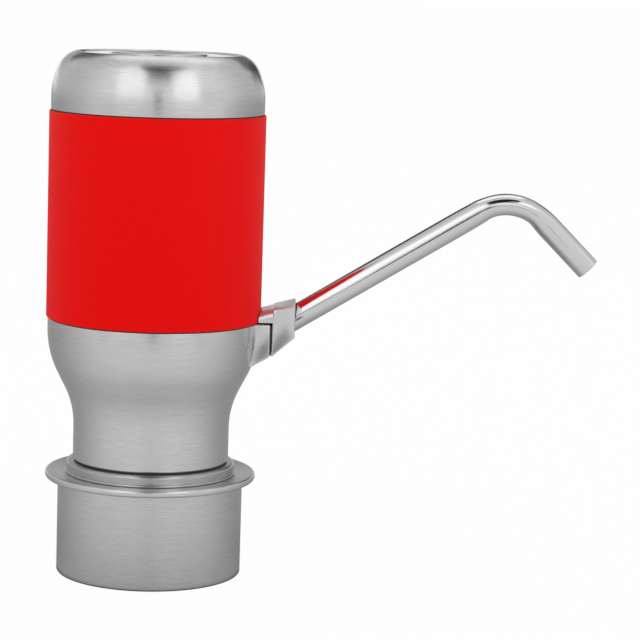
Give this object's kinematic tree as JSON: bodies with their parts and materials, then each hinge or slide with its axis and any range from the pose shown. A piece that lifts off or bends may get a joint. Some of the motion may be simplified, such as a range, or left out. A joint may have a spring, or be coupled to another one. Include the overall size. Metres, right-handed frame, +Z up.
{
  "type": "water bottle pump",
  "caption": "Rechargeable pump head for a large water bottle: red sleeve, brushed steel cap, bell and neck base, push button on top and a bent polished spout.",
  "frame": {"origin": "centre of the base's bottom rim, at the mouth of the bore that takes the bottle's neck", "axes": "+Z up along the body's axis, +X towards the spout, +Y to the side away from the pictured view"},
  "size_m": [0.18, 0.0704, 0.1714],
  "materials": {
    "brushed_steel": "round brush, satin",
    "red_coat": "satin gloss",
    "satin_metal": "fine bead-blasted satin",
    "polished_steel": "mirror polish",
    "black_rubber": "matte",
    "silicone": "translucent satin",
    "dark_plastic": "fine moulded texture",
    "white_plastic": "fine moulded texture",
    "grey_plastic": "fine moulded texture",
    "motor_steel": "zinc plated",
    "magnet": "sintered",
    "core_steel": "stamped sheet",
    "bronze": "sintered",
    "screw_steel": "zinc plated",
    "cell_wrap": "shrink film over a steel can",
    "board": "solder mask",
    "wire_red": "soft sleeve"
  },
  "bodies": {
    "base": {"base_cup": "brushed_steel", "base_collar": "brushed_steel", "base_liner": "dark_plastic", "bottle_gasket": "silicone"},
    "slip": {"slip_ring": "black_rubber"},
    "pump": {"lower_shell": "brushed_steel", "top_cap": "brushed_steel", "body_sleeve": "red_coat", "spout_bracket": "satin_metal", "top_ring": "polished_steel", "charge_socket": "polished_steel", "plug_o_ring": "black_rubber", "holder_gasket": "black_rubber", "motor_mount_ring": "black_rubber", "push_switch": "black_rubber", "inlet_hose": "silicone", "outlet_hose": "silicone", "valve_discs": "silicone", "diaphragm": "silicone", "button_guide": "dark_plastic", "pump_housing": "dark_plastic", "bottom_plug": "white_plastic", "inlet_nipple": "white_plastic", "pump_cover": "white_plastic", "valve_plate": "white_plastic", "motor_end_cap": "white_plastic", "status_lights": "white_plastic", "lower_chassis": "grey_plastic", "upper_chassis": "grey_plastic", "motor_can": "motor_steel", "battery_tabs": "motor_steel", "button_spring": "motor_steel", "motor_magnets": "magnet", "motor_bushings": "bronze", "pump_screws": "screw_steel", "motor_screws": "screw_steel", "chassis_screws": "screw_steel", "board_screws": "screw_steel", "bracket_screws": "screw_steel", "battery_cell": "cell_wrap", "circuit_board": "board", "charge_board": "board", "battery_leads": "wire_red", "motor_leads": "wire_red"},
    "rotor": {"motor_rotor": "core_steel", "eccentric": "white_plastic"},
    "wobble": {"wobble_plate": "white_plastic"},
    "button": {"power_button": "brushed_steel"},
    "spout": {"spout_holder": "satin_metal", "spout_tube": "polished_steel", "spigot_o_ring": "black_rubber"}
  },
  "joints": [
    {"name": "pump_lift", "type": "slide", "parent": "base", "child": "slip", "axis": [0, 0, 1], "range_m": [0, 0.03]},
    {"name": "pump_swivel", "type": "hinge", "parent": "slip", "child": "pump", "pos_m": [0, 0, 0.03755], "axis": [0, 0, 1], "continuous": true},
    {"name": "motor_spin", "type": "hinge", "parent": "pump", "child": "rotor", "pos_m": [0, 0, 0.09], "axis": [0, 0, 1], "continuous": true, "deforming": ["diaphragm"]},
    {"name": "wobble_turn", "type": "hinge", "parent": "rotor", "child": "wobble", "pos_m": [0, 0, 0.067], "axis": [0.0698, 0, 0.9976], "continuous": true},
    {"name": "button_press", "type": "slide", "parent": "pump", "child": "button", "axis": [0, 0, -1], "range_m": [0, 0.001], "stiffness_N_per_m": 1500, "springref_m": -0.0005, "deforming": ["button_spring"]},
    {"name": "spout_pull", "type": "slide", "parent": "pump", "child": "spout", "axis": [0.8499, 0, 0.527], "range_m": [0, 0.025]}
  ],
  "couplings": [
    {"joint": "wobble_turn", "follows": "motor_spin", "ratio": -1}
  ]
}
